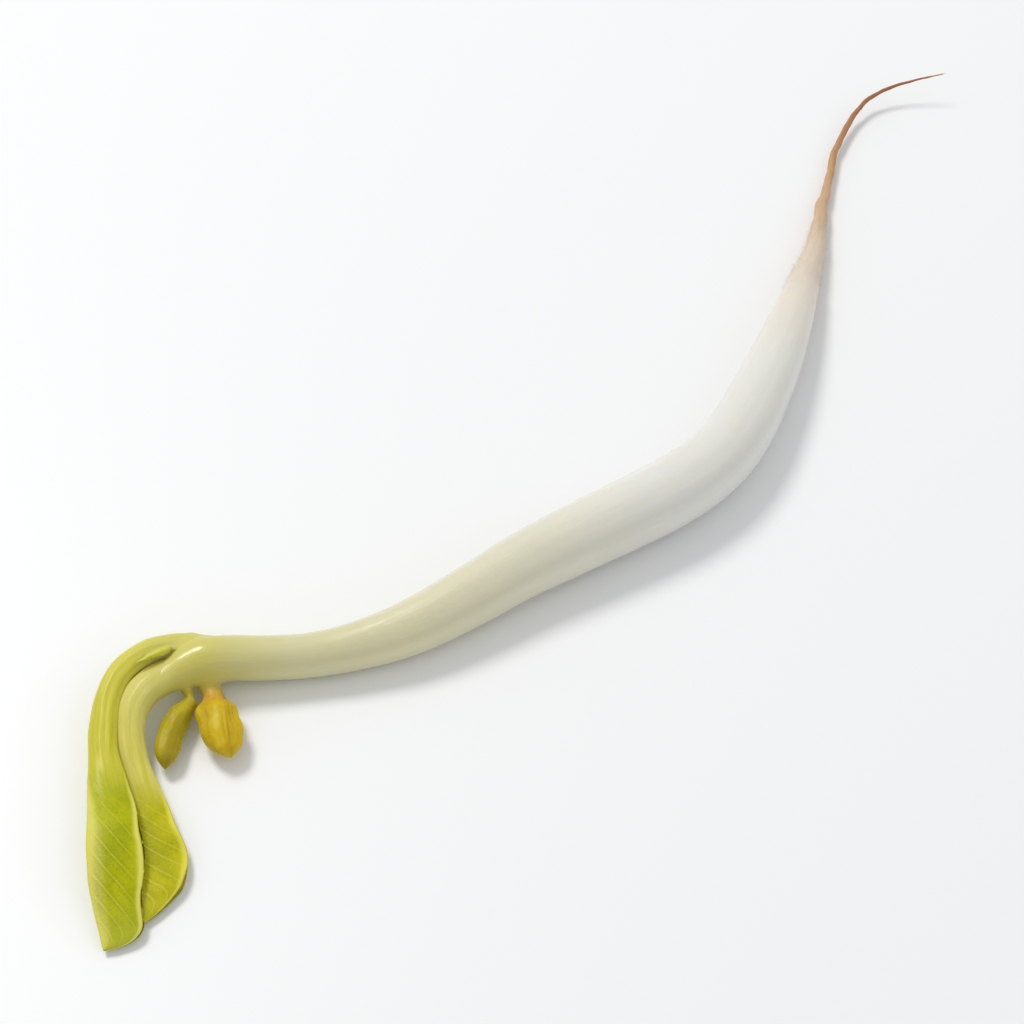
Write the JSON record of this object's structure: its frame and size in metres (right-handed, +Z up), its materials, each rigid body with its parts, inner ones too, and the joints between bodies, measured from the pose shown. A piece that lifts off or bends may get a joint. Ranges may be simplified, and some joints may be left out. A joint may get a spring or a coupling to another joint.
{
  "type": "mung bean sprout",
  "caption": "Fresh bean sprout lying on its side: thick curved white stem, hooked neck with folded green leaves, shrunken seed halves and a thin root.",
  "frame": {"origin": "centre of the underside of the whole sprout, on the surface it lies on", "axes": "+X along the sprout's length, from the leaves to the root; +Z up from the surface it lies on; +Y towards the outside of the hook"},
  "size_m": [0.0812, 0.0164, 0.004],
  "materials": {
    "stem_flesh": "moist, glossy, translucent white flesh",
    "root_skin": "satin, tan fading to brown along the thread",
    "leaf_green": "satin yellow-green with fine veins and pale margins",
    "leaf_pale": "satin, cream stalk turning to yellow-green",
    "seed_yellow": "wrinkled, satin golden yellow",
    "seed_olive": "wrinkled, satin olive yellow",
    "bud_green": "satin yellow-green, finely hairy"
  },
  "bodies": {
    "root": {"stem": "stem_flesh", "root": "root_skin", "outer_leaf": "leaf_green", "inner_leaf": "leaf_pale", "large_cotyledon": "seed_yellow", "small_cotyledon": "seed_olive", "terminal_bud": "bud_green"}
  },
  "joints": []
}
